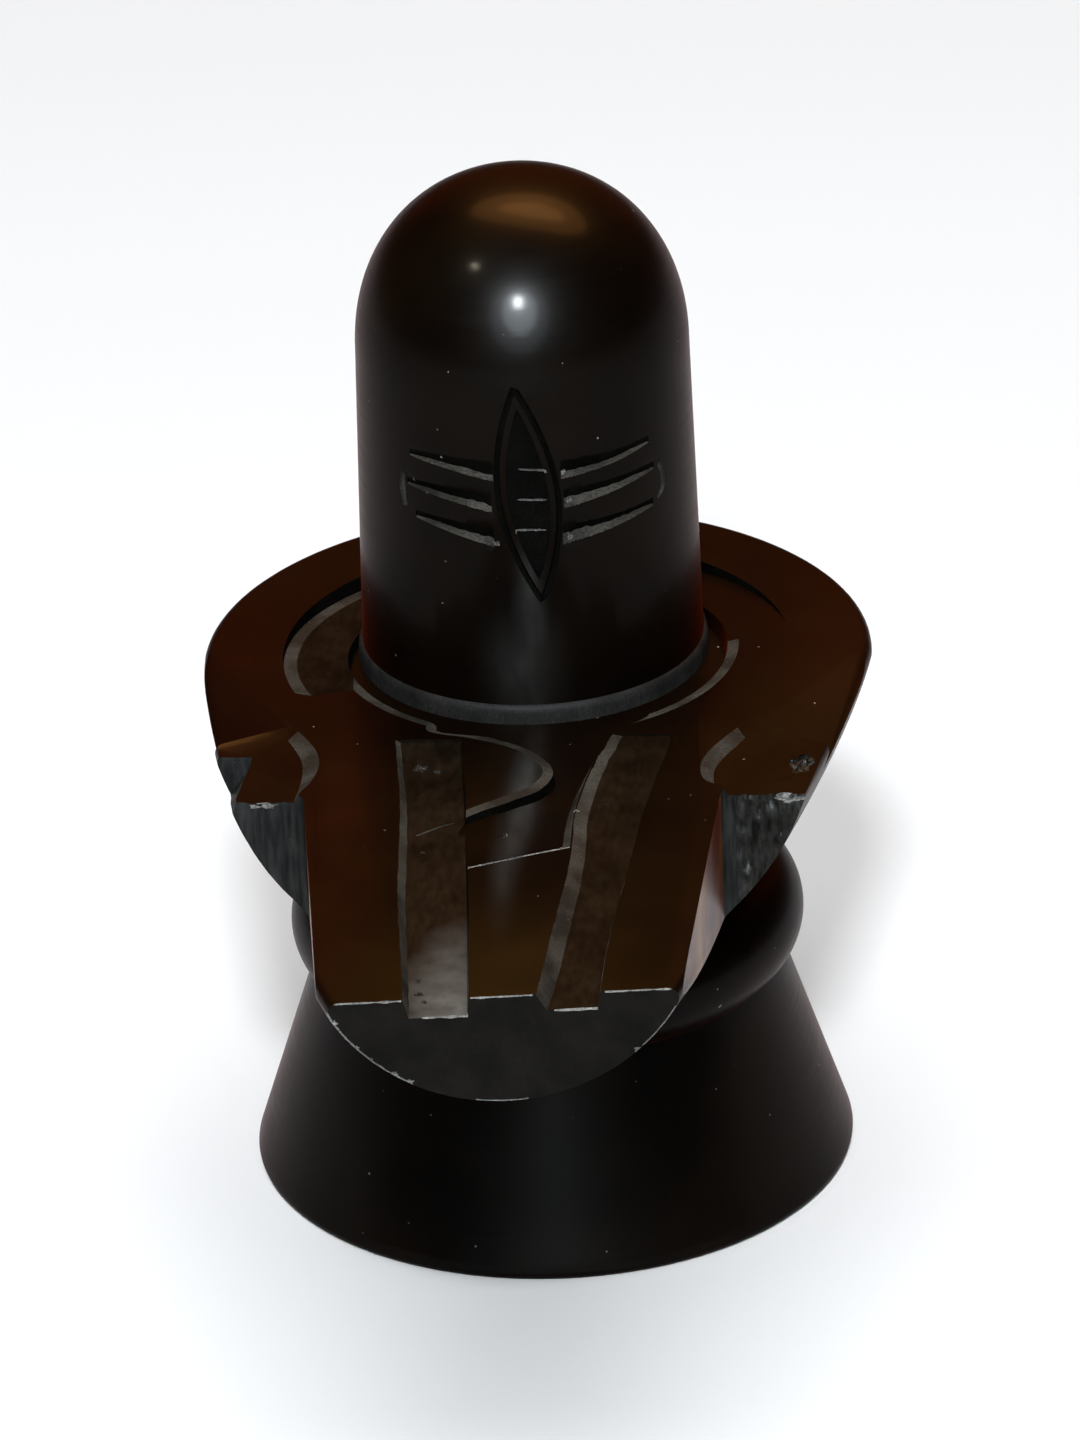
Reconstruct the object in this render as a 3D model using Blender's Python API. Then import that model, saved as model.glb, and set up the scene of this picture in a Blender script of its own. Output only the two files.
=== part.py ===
"""A small shiva lingam on its pedestal, turned and carved from one block of black stone.

The model is in metres with +Z up. Its origin is the centre of the foot's underside, and the spout of the
basin points along -Y. The sizes below are in millimetres and are turned into metres where a shape is made.
"""
import math

import bmesh
import bpy
from mathutils import Vector

MM = 0.001

# Foot: a plain cone that the stone stands on
FOOT_RADIUS = 43.9
FOOT_EDGE = 1.0
FOOT_TOP_RADIUS = 34.0
FOOT_HEIGHT = 31.2

# Waist: a round bead between the foot and the basin, with a short neck over it
BEAD_SET_IN = 4.5
BEAD_TUBE = 7.9
NECK_SET_IN = 1.9

# Basin: a bowl turned about the upright axis behind, drawn out to a spout in front, with a slightly skewed nose
BASIN_TOP = 80.0
BOWL_RADIUS = 49.7
BOWL_RISE = 10.8
RIM_ROUND = 1.1
SPOUT_REACH = 106.3
SPOUT_NOSE_RADIUS = 26.7
LEFT_SWEEP = 1.45
RIGHT_SWEEP = 1.2
NOSE_SKEW = 4.8

# Moat round the foot of the lingam, with a wider recess that fades out towards the front
MOAT_RADIUS = 28.3
MOAT_DEPTH = 2.8
RECESS_RADIUS = 36.7
RECESS_SET_FORWARD = 1.0
RECESS_DEPTH = 2.3
RECESS_LEFT_END_Y = -16.0
RECESS_RIGHT_END_Y = 5.0

# Lingam: an upright post with a domed top, set a little behind the basin's axis
LINGAM_RADIUS = 24.7
LINGAM_TAPER = 0.9
LINGAM_HEIGHT = 71.2
LINGAM_SET_BACK = 5.7
LINGAM_SET_ASIDE = -0.9
DOME_HEIGHT = 25.8
DOME_FULLNESS = 2.15

# Flanks sawn away on both sides of the spout, with a small fillet where the saw turned
RIGHT_WALL_X = 27.8
LEFT_WALL_X = 30.2
NOSE_HALF_WIDTH = 24.3
RIGHT_FLANK_Y = -44.9
LEFT_FLANK_Y = -46.2
FLANK_FILLET = 1.6

# Ledges cut a little below the basin's top behind each flank, each with a bowed inner line
LEDGE_DEPTH = 1.5
LEDGE_LENGTH = 19.5
LEDGE_STEP_IN = 2.2
LEDGE_BOW = 3.0

# Facets ground off the rim's front corners
FACET_INSET = 1.8
FACET_TURN = -3.3
FACET_OVERLAP = 2.8
FACET_DROP_ANGLE = 24.0

# Channel from the moat along the spout, narrowed by a round island on its left
CHANNEL_LEFT_X = -10.0
CHANNEL_RIGHT_X = 13.2
CHANNEL_NARROWING = 5.2
CHANNEL_END_DEPTH = 0.6
CHANNEL_END_Y = -66.0
CHANNEL_END_SKEW = 6.5
ISLAND_Y = -40.0
ISLAND_HALF_LENGTH = 12.0
ISLAND_REACH = 12.7

# Two sunk strips that deepen towards the nose, each with a sloping left bank
STRIP_WIDTH = 8.4
STRIP_NOSE_DEPTH = 2.6
STRIP_START_DEPTH = 0.5
STRIP_BANK = 1.9
LEFT_STRIP_START = (-13.4, -29.5)
LEFT_STRIP_NOSE_X = -7.6
RIGHT_STRIP_START = (16.0, -33.0)
RIGHT_STRIP_NOSE_X = 9.8

# Mark on the lingam's front: an upright eye crossed by three level bands
MARK_TURN = 5.8
MARK_RISE = 32.6
EYE_HALF_HEIGHT = 15.8
EYE_HALF_WIDTH = 4.3
EYE_LEAN = 3.0
EYE_LINE = 0.7
RIGHT_LID_REACH = 0.97
BAND_HALF_ANGLE = 48.0
BAND_SPACING = 4.75
BAND_HEIGHT = 2.3
BAND_DEPTH = 0.95
BAND_LIFT = -1.4

# Fineness of the curved surfaces
ROUND_SIDES = 60
SECTION_STEPS = 14
SPOUT_STEPS = 14
DOME_STEPS = 12
BAND_STEPS = 9

# How far a cutter reaches past the surface that it cuts
OVERCUT = 4.0

BLOCK_NAME = "shiva_lingam"


def clear_scene():
    """Removes every object that the opened file holds."""
    for item in list(bpy.data.objects):
        bpy.data.objects.remove(item, do_unlink=True)


def black_stone():
    """The polished near-black stone of the whole block."""
    material = bpy.data.materials.new("black_stone")
    material.use_nodes = True
    shader = material.node_tree.nodes["Principled BSDF"]
    shader.inputs["Base Color"].default_value = (0.018, 0.014, 0.011, 1.0)
    shader.inputs["Roughness"].default_value = 0.22
    shader.inputs["Metallic"].default_value = 0.0
    return material


def finish_mesh(name, bm, cutter=False):
    """Turns a bmesh in millimetres into an object in metres, with its faces pointing out."""
    bmesh.ops.recalc_face_normals(bm, faces=bm.faces)
    bmesh.ops.scale(bm, vec=Vector((MM, MM, MM)), verts=bm.verts)
    mesh = bpy.data.meshes.new(name)
    bm.to_mesh(mesh)
    bm.free()
    mesh.shade_smooth()
    mesh.set_sharp_from_angle(angle=math.radians(35))
    item = bpy.data.objects.new(name, mesh)
    bpy.context.scene.collection.objects.link(item)
    if cutter:
        item.hide_render = True
        item.display_type = "WIRE"
    return item


def skin(bm, rings, closed=True):
    """Joins rings of vertices, each to the next, with four-sided faces."""
    for low, high in zip(rings, rings[1:]):
        count = len(low)
        for k in range(count if closed else count - 1):
            n = (k + 1) % count
            bm.faces.new((low[k], low[n], high[n], high[k]))


def turned(name, profile, centre=(0.0, 0.0), cutter=False):
    """Turns a profile of (radius, height) points, from foot to top, about an upright axis."""
    bm = bmesh.new()
    rings = []
    for radius, height in profile:
        ring = []
        for k in range(ROUND_SIDES):
            angle = 2.0 * math.pi * k / ROUND_SIDES
            x = centre[0] + radius * math.cos(angle)
            y = centre[1] + radius * math.sin(angle)
            ring.append(bm.verts.new((x, y, height)))
        rings.append(ring)
    skin(bm, rings)
    bm.faces.new(reversed(rings[0]))
    bm.faces.new(rings[-1])
    return finish_mesh(name, bm, cutter)


def lofted(name, sections, cutter=False):
    """Skins closed sections that have the same number of points, and caps both ends."""
    bm = bmesh.new()
    rings = [[bm.verts.new(point) for point in section] for section in sections]
    skin(bm, rings)
    bm.faces.new(reversed(rings[0]))
    bm.faces.new(rings[-1])
    return finish_mesh(name, bm, cutter)


def prism(name, outline, low, high):
    """An upright cutter over a plan outline, between two heights."""
    foot = [(x, y, low) for x, y in outline]
    top = [(x, y, high) for x, y in outline]
    return lofted(name, [foot, top], cutter=True)


def arc(centre, radius, start, end, steps):
    """Points (across, up) on a circle from one angle to another, both in radians."""
    points = []
    for k in range(steps + 1):
        angle = start + (end - start) * k / steps
        points.append((centre[0] + radius * math.cos(angle), centre[1] + radius * math.sin(angle)))
    return points


def boolean(target, item, operation):
    """Adds a live Boolean with the exact solver."""
    modifier = target.modifiers.new(operation.title() + "_" + item.name, "BOOLEAN")
    modifier.operation = operation
    modifier.object = item
    modifier.solver = "EXACT"


def hull_centre_z():
    """Height of the level line that the bowl's and the spout's round sections are struck from."""
    return BASIN_TOP + BOWL_RISE


def bead_radius():
    """Radius of the circle that the bead's middle runs on, inside the foot's top edge."""
    return FOOT_TOP_RADIUS - BEAD_SET_IN


def bead_centre_z():
    """Height of the bead's middle, so that it rests in the crease at the foot's top."""
    return FOOT_HEIGHT + math.sqrt(BEAD_TUBE ** 2 - BEAD_SET_IN ** 2)


def moat_floor_z():
    """Height of the moat's floor."""
    return BASIN_TOP - MOAT_DEPTH


def lingam_centre():
    """Plan place of the lingam's axis."""
    return (LINGAM_SET_ASIDE, LINGAM_SET_BACK)


def lingam_top_z():
    """Height of the whole block."""
    return BASIN_TOP + LINGAM_HEIGHT


def rim_radius():
    """Radius of the bowl where it meets the basin's top."""
    return math.sqrt(BOWL_RADIUS ** 2 - BOWL_RISE ** 2)


def hull_radius(y, sweep):
    """Radius of the spout's round section at a distance in front of the axis."""
    share = max(0.0, -y / SPOUT_REACH)
    return BOWL_RADIUS - (BOWL_RADIUS - SPOUT_NOSE_RADIUS) * share ** sweep


def nose_y(x):
    """Place of the nose's flat face, which stands a little skewed across the spout."""
    return -SPOUT_REACH + x * math.tan(math.radians(NOSE_SKEW))


def pedestal():
    """Foot, bead and neck, as one turned piece whose top is buried in the bowl."""
    slope = math.atan2(FOOT_RADIUS - FOOT_TOP_RADIUS, FOOT_HEIGHT - FOOT_EDGE)
    edge_centre = (FOOT_RADIUS - FOOT_EDGE, FOOT_EDGE)
    profile = arc(edge_centre, FOOT_EDGE, -0.5 * math.pi, slope, 4)
    bead_centre = (bead_radius(), bead_centre_z())
    crease = math.atan2(FOOT_HEIGHT - bead_centre[1], BEAD_SET_IN)
    neck = math.acos(-NECK_SET_IN / BEAD_TUBE)
    profile += arc(bead_centre, BEAD_TUBE, crease, neck, 12)
    bowl_bottom = hull_centre_z() - BOWL_RADIUS
    profile.append((bead_radius() - NECK_SET_IN, 0.5 * (bowl_bottom + moat_floor_z())))
    return turned("pedestal", profile)


def hull_section(keel_radius, side_radius):
    """Half a section of the hull, from its keel up to the top, with the rim's edge rounded."""
    centre_z = hull_centre_z()
    round_z = BASIN_TOP - RIM_ROUND
    round_x = math.sqrt((side_radius - RIM_ROUND) ** 2 - (centre_z - round_z) ** 2)
    tilt = math.atan2(round_z - centre_z, round_x)
    points = []
    for k in range(SECTION_STEPS + 1):
        share = k / SECTION_STEPS
        angle = -0.5 * math.pi + (tilt + 0.5 * math.pi) * share
        radius = keel_radius + (side_radius - keel_radius) * share ** 2 * (3.0 - 2.0 * share)
        points.append((radius * math.cos(angle), centre_z + radius * math.sin(angle)))
    points += arc((round_x, round_z), RIM_ROUND, tilt, 0.5 * math.pi, 3)[1:]
    return points


def basin():
    """The bowl, turned behind the axis, and the spout, drawn out in front of it."""
    bm = bmesh.new()
    half = hull_section(BOWL_RADIUS, BOWL_RADIUS)
    rows = []
    for k in range(SPOUT_STEPS + 1):
        y = -(SPOUT_REACH + OVERCUT) * k / SPOUT_STEPS
        left_radius = hull_radius(y, LEFT_SWEEP)
        right_radius = hull_radius(y, RIGHT_SWEEP)
        keel_radius = 0.5 * (left_radius + right_radius)
        left_points = hull_section(keel_radius, left_radius)
        right_points = hull_section(keel_radius, right_radius)
        left = [bm.verts.new((-x, y, z)) for x, z in reversed(left_points[1:])]
        right = [bm.verts.new((x, y, z)) for x, z in right_points]
        rows.append(left + right)
    skin(bm, rows, closed=False)
    reach = len(half) - 1
    keel = rows[0][reach]
    left_edge = list(reversed(rows[0][:reach]))
    column = rows[0][reach + 1:]
    back_rim = []
    turns = ROUND_SIDES // 2
    for k in range(1, turns + 1):
        angle = math.pi * k / turns
        if k < turns:
            following = [bm.verts.new((r * math.cos(angle), r * math.sin(angle), z)) for r, z in half[1:]]
        else:
            following = left_edge
        bm.faces.new((keel, column[0], following[0]))
        for low in range(reach - 1):
            bm.faces.new((column[low], column[low + 1], following[low + 1], following[low]))
        column = following
        back_rim.append(column[-1])
    right_rim = [row[-1] for row in reversed(rows)]
    left_rim = [row[0] for row in rows[1:]]
    bm.faces.new(right_rim + back_rim + left_rim)
    bm.faces.new(rows[-1])
    return finish_mesh(BLOCK_NAME, bm)


def lingam():
    """The upright post with its dome, standing in the moat."""
    top = lingam_top_z()
    dome_foot = top - DOME_HEIGHT
    buried = moat_floor_z() - OVERCUT
    profile = [(LINGAM_RADIUS, buried), (LINGAM_RADIUS, moat_floor_z() + 1.0)]
    shoulder = LINGAM_RADIUS - LINGAM_TAPER
    profile.append((LINGAM_RADIUS - 0.5 * LINGAM_TAPER, 0.5 * (moat_floor_z() + dome_foot)))
    for k in range(DOME_STEPS):
        angle = 0.5 * math.pi * k / DOME_STEPS
        across = math.cos(angle) ** (2.0 / DOME_FULLNESS)
        up = math.sin(angle) ** (2.0 / DOME_FULLNESS)
        profile.append((shoulder * across, dome_foot + DOME_HEIGHT * up))
    last_radius = profile[-1][0]
    profile.append((0.35 * last_radius, top))
    return turned("lingam", profile, lingam_centre())


def moat():
    """The round moat, down to its floor."""
    profile = [(MOAT_RADIUS, moat_floor_z()), (MOAT_RADIUS, BASIN_TOP + OVERCUT)]
    return turned("cut_moat", profile, cutter=True)


def recess():
    """The wider recess: a round cutter whose tilted floor comes out at the basin's top in front."""
    centre_y = -RECESS_SET_FORWARD
    left_x = -math.sqrt(RECESS_RADIUS ** 2 - (RECESS_LEFT_END_Y - centre_y) ** 2)
    right_x = math.sqrt(RECESS_RADIUS ** 2 - (RECESS_RIGHT_END_Y - centre_y) ** 2)
    left = Vector((left_x, RECESS_LEFT_END_Y, BASIN_TOP))
    right = Vector((right_x, RECESS_RIGHT_END_Y, BASIN_TOP))
    back = Vector((0.0, centre_y + RECESS_RADIUS, BASIN_TOP - RECESS_DEPTH))
    normal = (right - left).cross(back - left)
    floor = []
    top = []
    for k in range(ROUND_SIDES):
        angle = 2.0 * math.pi * k / ROUND_SIDES
        x = RECESS_RADIUS * math.cos(angle)
        y = centre_y + RECESS_RADIUS * math.sin(angle)
        z = left.z - (normal.x * (x - left.x) + normal.y * (y - left.y)) / normal.z
        floor.append((x, y, z))
        top.append((x, y, BASIN_TOP + RECESS_RADIUS))
    return lofted("cut_recess", [floor, top], cutter=True)


def nose():
    """What the saw took off in front of the nose's flat face."""
    wide = BOWL_RADIUS
    far = -SPOUT_REACH - 3.0 * OVERCUT
    outline = [(-wide, nose_y(-wide)), (-wide, far), (wide, far), (wide, nose_y(wide))]
    return prism("cut_nose", outline, FOOT_HEIGHT, BASIN_TOP + OVERCUT)


def spout_wall_x(wall_x, flank_y, y):
    """Half-width of the spout on one side: the sawn wall closes in from the flank to the nose."""
    share = (flank_y - y) / (flank_y + SPOUT_REACH)
    return wall_x + (NOSE_HALF_WIDTH - wall_x) * share


def flank(name, side, wall_x, flank_y):
    """The part of one flank that the saw took away, on the side -1 or +1."""
    outer = side * (BOWL_RADIUS + OVERCUT)
    front = -SPOUT_REACH - 4.0 * OVERCUT
    corner = (wall_x + FLANK_FILLET, flank_y - FLANK_FILLET)
    outline = [(outer, front), (outer, flank_y)]
    for x, y in arc(corner, FLANK_FILLET, 0.5 * math.pi, math.pi, 4):
        outline.append((side * x, y))
    outline.append((side * spout_wall_x(wall_x, flank_y, front), front))
    return prism(name, outline, FOOT_HEIGHT, BASIN_TOP + OVERCUT)


def ledge(name, side, wall_x, flank_y):
    """A shallow level cut behind one flank, whose inner end is a bowed line."""
    outer = side * (BOWL_RADIUS + OVERCUT)
    back_y = flank_y + LEDGE_LENGTH
    front_y = flank_y - 0.5 * FLANK_FILLET
    outline = [(outer, back_y), (outer, flank_y - OVERCUT), (side * (wall_x + 1.0), flank_y - OVERCUT)]
    steps = 6
    for k in range(steps + 1):
        share = k / steps
        y = front_y + (back_y - front_y) * share
        inner = wall_x + LEDGE_STEP_IN * share - LEDGE_BOW * math.sin(math.pi * share)
        outline.append((side * inner, y))
    return prism(name, outline, BASIN_TOP - LEDGE_DEPTH, BASIN_TOP + OVERCUT)


def rim_facet(name, side, wall_x, flank_y):
    """A flat ground off one front corner of the rim, sloping down outwards."""
    turn = math.radians(FACET_TURN)
    inset = rim_radius() - FACET_INSET
    start = Vector((side * inset * math.cos(turn), inset * math.sin(turn), BASIN_TOP))
    end_x = wall_x + LEDGE_STEP_IN + FACET_OVERLAP
    end = Vector((side * end_x, flank_y + LEDGE_LENGTH, BASIN_TOP))
    along = (end - start).normalized()
    outward = Vector((side * abs(along.y), -abs(along.x), 0.0))
    drop = math.tan(math.radians(FACET_DROP_ANGLE))
    reach = BOWL_RADIUS
    over = Vector((0.0, 0.0, OVERCUT))
    sections = []
    for corner in (start - along * reach, end):
        far = corner + outward * reach
        low = far - Vector((0.0, 0.0, reach * drop))
        high = corner - outward * (OVERCUT / drop) + over
        sections.append([tuple(low), tuple(far + over), tuple(high)])
    return lofted(name, sections, cutter=True)


def trough(name, stations):
    """A long cutter from stations (y, bank x, left x, right x, floor z); its left bank slopes."""
    sections = []
    for y, bank, left, right, floor in stations:
        high = BASIN_TOP + OVERCUT
        grow = (bank - left) * OVERCUT / max(BASIN_TOP - floor, 0.1)
        sections.append([(bank + grow, y, high), (left, y, floor), (right, y, floor), (right, y, high)])
    return lofted(name, sections, cutter=True)


def strip(name, start, nose_x):
    """One sunk strip, which deepens from its start to the nose."""
    stations = []
    steps = 6
    front = -SPOUT_REACH - 2.0 * OVERCUT
    for k in range(steps + 1):
        share = k / steps
        y = start[1] + (front - start[1]) * share
        middle = start[0] + (nose_x - start[0]) * share
        depth = STRIP_START_DEPTH + (STRIP_NOSE_DEPTH - STRIP_START_DEPTH) * share
        left = middle - 0.5 * STRIP_WIDTH + 0.5 * STRIP_BANK
        bank = left - STRIP_BANK * depth / STRIP_NOSE_DEPTH
        stations.append((y, bank, left, middle + 0.5 * STRIP_WIDTH, BASIN_TOP - depth))
    return trough(name, stations)


def channel_left(y):
    """Left side of the channel, with the round island bulging into it."""
    share = (y - ISLAND_Y) / ISLAND_HALF_LENGTH
    if abs(share) >= 1.0:
        return CHANNEL_LEFT_X
    return CHANNEL_LEFT_X + ISLAND_REACH * math.sqrt(1.0 - share ** 2)


def channel():
    """The channel that leads out of the moat, rising to a low step across the spout."""
    back_y = -0.7 * MOAT_RADIUS
    high = BASIN_TOP + OVERCUT
    steps = 14
    sections = []
    for k in range(steps + 1):
        share = k / steps
        y = back_y + (CHANNEL_END_Y - back_y) * share
        skew = 0.5 * CHANNEL_END_SKEW * share ** 6
        left = channel_left(y)
        right = CHANNEL_RIGHT_X - CHANNEL_NARROWING * share
        depth = MOAT_DEPTH + (CHANNEL_END_DEPTH - MOAT_DEPTH) * share
        floor = BASIN_TOP - depth + 0.05 * (1.0 - share)
        section = [(left, y - skew, floor), (right, y + skew, floor)]
        section += [(right, y + skew, high), (left, y - skew, high)]
        sections.append(section)
    return lofted("cut_channel", sections, cutter=True)


def tube(name, path, radius, axis):
    """A six-sided tube along a path of points round an upright axis, for a cut line."""
    sections = []
    last = len(path) - 1
    for k, point in enumerate(path):
        along = (path[min(k + 1, last)] - path[max(k - 1, 0)]).normalized()
        outward = Vector((point.x - axis[0], point.y - axis[1], 0.0))
        across = along.cross(outward).normalized()
        up = across.cross(along)
        section = []
        for angle in (math.pi * (corner + 0.5) / 3.0 for corner in range(6)):
            section.append(tuple(point + radius * (across * math.cos(angle) + up * math.sin(angle))))
        sections.append(section)
    return lofted(name, sections, cutter=True)


def lingam_radius_at(z):
    """Radius of the post at a height below its dome."""
    share = (z - moat_floor_z()) / (lingam_top_z() - DOME_HEIGHT - moat_floor_z())
    share = min(1.0, max(0.0, share))
    return LINGAM_RADIUS - LINGAM_TAPER * share


def on_lingam(angle, z, sink):
    """A point at an angle from the mark's middle and at a height, sunk below the post's skin."""
    turn = math.radians(MARK_TURN) + angle
    radius = lingam_radius_at(z) - sink
    centre = lingam_centre()
    return Vector((centre[0] + radius * math.sin(turn), centre[1] - radius * math.cos(turn), z))


def mark_z():
    """Height of the mark's middle."""
    return BASIN_TOP + MARK_RISE


def eye_edge(side, z):
    """Distance from the mark's middle to one side, -1 or +1, of the eye at a height."""
    up = max(-1.0, min(1.0, (z - mark_z()) / EYE_HALF_HEIGHT))
    return side * EYE_HALF_WIDTH * (1.0 - up * up) - 0.5 * EYE_LEAN * up


def eye_lid(name, side, reach):
    """One side, -1 or +1, of the upright eye's pointed outline, wrapped on the post."""
    path = []
    steps = 14
    for k in range(steps + 1):
        z = mark_z() + reach * EYE_HALF_HEIGHT * math.cos(math.pi * k / steps)
        path.append(on_lingam(eye_edge(side, z) / LINGAM_RADIUS, z, 0.1))
    return tube(name, path, EYE_LINE, lingam_centre())


def band(name, middle_z, start, end):
    """A stretch of one level band: a groove with a steep upper wall and a wide sloping lower wall."""
    sections = []
    upper = middle_z + 0.5 * BAND_HEIGHT
    lower = middle_z - 0.5 * BAND_HEIGHT
    for k in range(BAND_STEPS + 1):
        angle = start + (end - start) * k / BAND_STEPS
        deep = on_lingam(angle, upper - 0.25 * BAND_HEIGHT, BAND_DEPTH)
        high = on_lingam(angle, upper + 0.25 * BAND_HEIGHT, -BAND_DEPTH)
        low = on_lingam(angle, lower - 0.75 * BAND_HEIGHT, -BAND_DEPTH)
        sections.append([tuple(deep), tuple(high), tuple(low)])
    return lofted(name, sections, cutter=True)


def bands():
    """Three bands, each in a left and a right stretch that stop at the eye."""
    cutters = []
    half = math.radians(BAND_HALF_ANGLE)
    gap = 1.5 * EYE_LINE
    for k in range(3):
        z = mark_z() + BAND_LIFT + (1 - k) * BAND_SPACING
        left_end = (eye_edge(-1.0, z) - gap) / LINGAM_RADIUS
        right_start = (eye_edge(1.0, z) + gap) / LINGAM_RADIUS
        cutters.append(band("cut_left_band_" + str(k + 1), z, -half, left_end))
        cutters.append(band("cut_right_band_" + str(k + 1), z, right_start, half))
    return cutters


def build():
    """Models the whole block: the added forms first, then what is cut away, then the post and its mark."""
    clear_scene()
    stone = black_stone()
    block = basin()
    foot = pedestal()
    post = lingam()
    cuts = [nose(), moat(), recess(), channel()]
    for name, side, wall_x, flank_y in (
        ("right", 1.0, RIGHT_WALL_X, RIGHT_FLANK_Y),
        ("left", -1.0, LEFT_WALL_X, LEFT_FLANK_Y),
    ):
        cuts.append(flank("cut_" + name + "_flank", side, wall_x, flank_y))
        cuts.append(ledge("cut_" + name + "_ledge", side, wall_x, flank_y))
        cuts.append(rim_facet("cut_" + name + "_facet", side, wall_x, flank_y))
    cuts.append(strip("cut_left_strip", LEFT_STRIP_START, LEFT_STRIP_NOSE_X))
    cuts.append(strip("cut_right_strip", RIGHT_STRIP_START, RIGHT_STRIP_NOSE_X))
    marks = [eye_lid("cut_left_lid", -1.0, 1.0), eye_lid("cut_right_lid", 1.0, RIGHT_LID_REACH)]
    marks += bands()
    boolean(block, foot, "UNION")
    for item in cuts:
        boolean(block, item, "DIFFERENCE")
    boolean(block, post, "UNION")
    for item in marks:
        boolean(block, item, "DIFFERENCE")
    for item in (foot, post):
        item.hide_render = True
        item.display_type = "WIRE"
    block.data.materials.append(stone)


build()
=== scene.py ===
# %% [markdown]
# # A small shiva lingam, dressed for its picture
# One block of black stone was turned on a lathe, sawn, carved and polished into a domed post in a
# spouted basin on a flared foot. The CAD model gives the true sizes. Here the same block is made again
# with finer curves, softer edges and the marks of the tools, and it gets its finishes, a floor and lights.

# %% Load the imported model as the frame
import math
import bmesh
import bpy
from mathutils import Matrix, Vector, noise


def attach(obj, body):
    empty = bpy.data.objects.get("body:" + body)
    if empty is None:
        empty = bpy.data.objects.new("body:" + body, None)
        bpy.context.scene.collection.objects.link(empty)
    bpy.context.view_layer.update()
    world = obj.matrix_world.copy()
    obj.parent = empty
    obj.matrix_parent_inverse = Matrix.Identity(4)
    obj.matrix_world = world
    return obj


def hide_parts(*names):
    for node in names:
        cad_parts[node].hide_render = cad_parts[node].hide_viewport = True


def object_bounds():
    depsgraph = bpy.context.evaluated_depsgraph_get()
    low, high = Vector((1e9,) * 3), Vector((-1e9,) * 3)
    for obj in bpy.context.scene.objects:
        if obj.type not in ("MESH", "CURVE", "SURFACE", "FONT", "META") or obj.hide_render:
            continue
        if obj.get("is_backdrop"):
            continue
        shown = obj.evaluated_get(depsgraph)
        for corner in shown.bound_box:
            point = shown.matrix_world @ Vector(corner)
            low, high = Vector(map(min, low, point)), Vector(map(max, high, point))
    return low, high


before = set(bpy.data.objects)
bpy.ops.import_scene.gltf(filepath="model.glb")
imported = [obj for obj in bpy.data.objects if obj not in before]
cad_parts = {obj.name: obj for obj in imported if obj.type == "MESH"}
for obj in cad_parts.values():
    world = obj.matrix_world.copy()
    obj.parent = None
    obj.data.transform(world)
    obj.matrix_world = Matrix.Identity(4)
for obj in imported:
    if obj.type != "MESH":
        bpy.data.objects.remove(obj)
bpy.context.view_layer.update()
MM = 0.001

# %% [markdown]
# ## Finishes of one stone
# The whole piece is one stone, so all finishes share its near-black colour. What differs is how the tool
# left the surface: polished skin is dark and glossy, while cut banks and sawn faces scatter light and look
# grey. Some finishes also carry painted reflections, highlights and shade in their colour. Each finish is a
# small node tree on Object coordinates, so that its grain has a real size.

# %% Two helpers for node trees
def wire(tree, output, socket):
    """Joins an output to an input socket."""
    tree.links.new(output, socket)


def add_noise(tree, coordinates, scale, detail=4.0, stretch=(1.0, 1.0, 1.0)):
    """A noise whose grain counts per metre, stretched along the axes."""
    mapping = tree.nodes.new("ShaderNodeMapping")
    mapping.inputs["Scale"].default_value = stretch
    wire(tree, coordinates, mapping.inputs["Vector"])
    grain = tree.nodes.new("ShaderNodeTexNoise")
    grain.inputs["Scale"].default_value = scale
    grain.inputs["Detail"].default_value = detail
    wire(tree, mapping.outputs["Vector"], grain.inputs["Vector"])
    return grain.outputs["Fac"]


def add_ramp(tree, value, stops):
    """A colour ramp from (place, colour) stops."""
    ramp = tree.nodes.new("ShaderNodeValToRGB")
    elements = ramp.color_ramp.elements
    while len(elements) < len(stops):
        elements.new(0.5)
    for element, (place, colour) in zip(elements, stops):
        element.position = place
        element.color = colour if len(colour) == 4 else (*colour, 1.0)
    wire(tree, value, ramp.inputs["Fac"])
    return ramp.outputs["Color"]


def grey(value):
    """A grey as a colour, for ramps that carry plain numbers."""
    return (value, value, value, 1.0)


def add_maths(tree, operation, first, second):
    """A maths node on sockets or plain numbers."""
    node = tree.nodes.new("ShaderNodeMath")
    node.operation = operation
    for socket, value in zip(node.inputs, (first, second)):
        if isinstance(value, (int, float)):
            socket.default_value = value
        else:
            wire(tree, value, socket)
    return node.outputs["Value"]


def add_mix(tree, factor, first, second):
    """A colour between two, by a factor socket."""
    node = tree.nodes.new("ShaderNodeMix")
    node.data_type = "RGBA"
    wire(tree, factor, node.inputs["Factor"])
    for socket, value in ((node.inputs["A"], first), (node.inputs["B"], second)):
        if isinstance(value, tuple):
            socket.default_value = value if len(value) == 4 else (*value, 1.0)
        else:
            wire(tree, value, socket)
    return node.outputs["Result"]


def stone_finish(name, gloss_level):
    """A new finish: its node tree, its shader and the Object coordinates."""
    material = bpy.data.materials.new(name)
    material.use_nodes = True
    tree = material.node_tree
    shader = tree.nodes["Principled BSDF"]
    shader.inputs["Specular IOR Level"].default_value = gloss_level
    coordinates = tree.nodes.new("ShaderNodeTexCoord").outputs["Object"]
    return material, tree, shader, coordinates


def add_bump(tree, shader, height, strength, distance_mm):
    """Turns a height socket into bumps of a real depth."""
    bump = tree.nodes.new("ShaderNodeBump")
    bump.inputs["Strength"].default_value = strength
    bump.inputs["Distance"].default_value = distance_mm * MM
    wire(tree, height, bump.inputs["Height"])
    wire(tree, bump.outputs["Normal"], shader.inputs["Normal"])
    wire(tree, bump.outputs["Normal"], shader.inputs["Coat Normal"])


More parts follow.
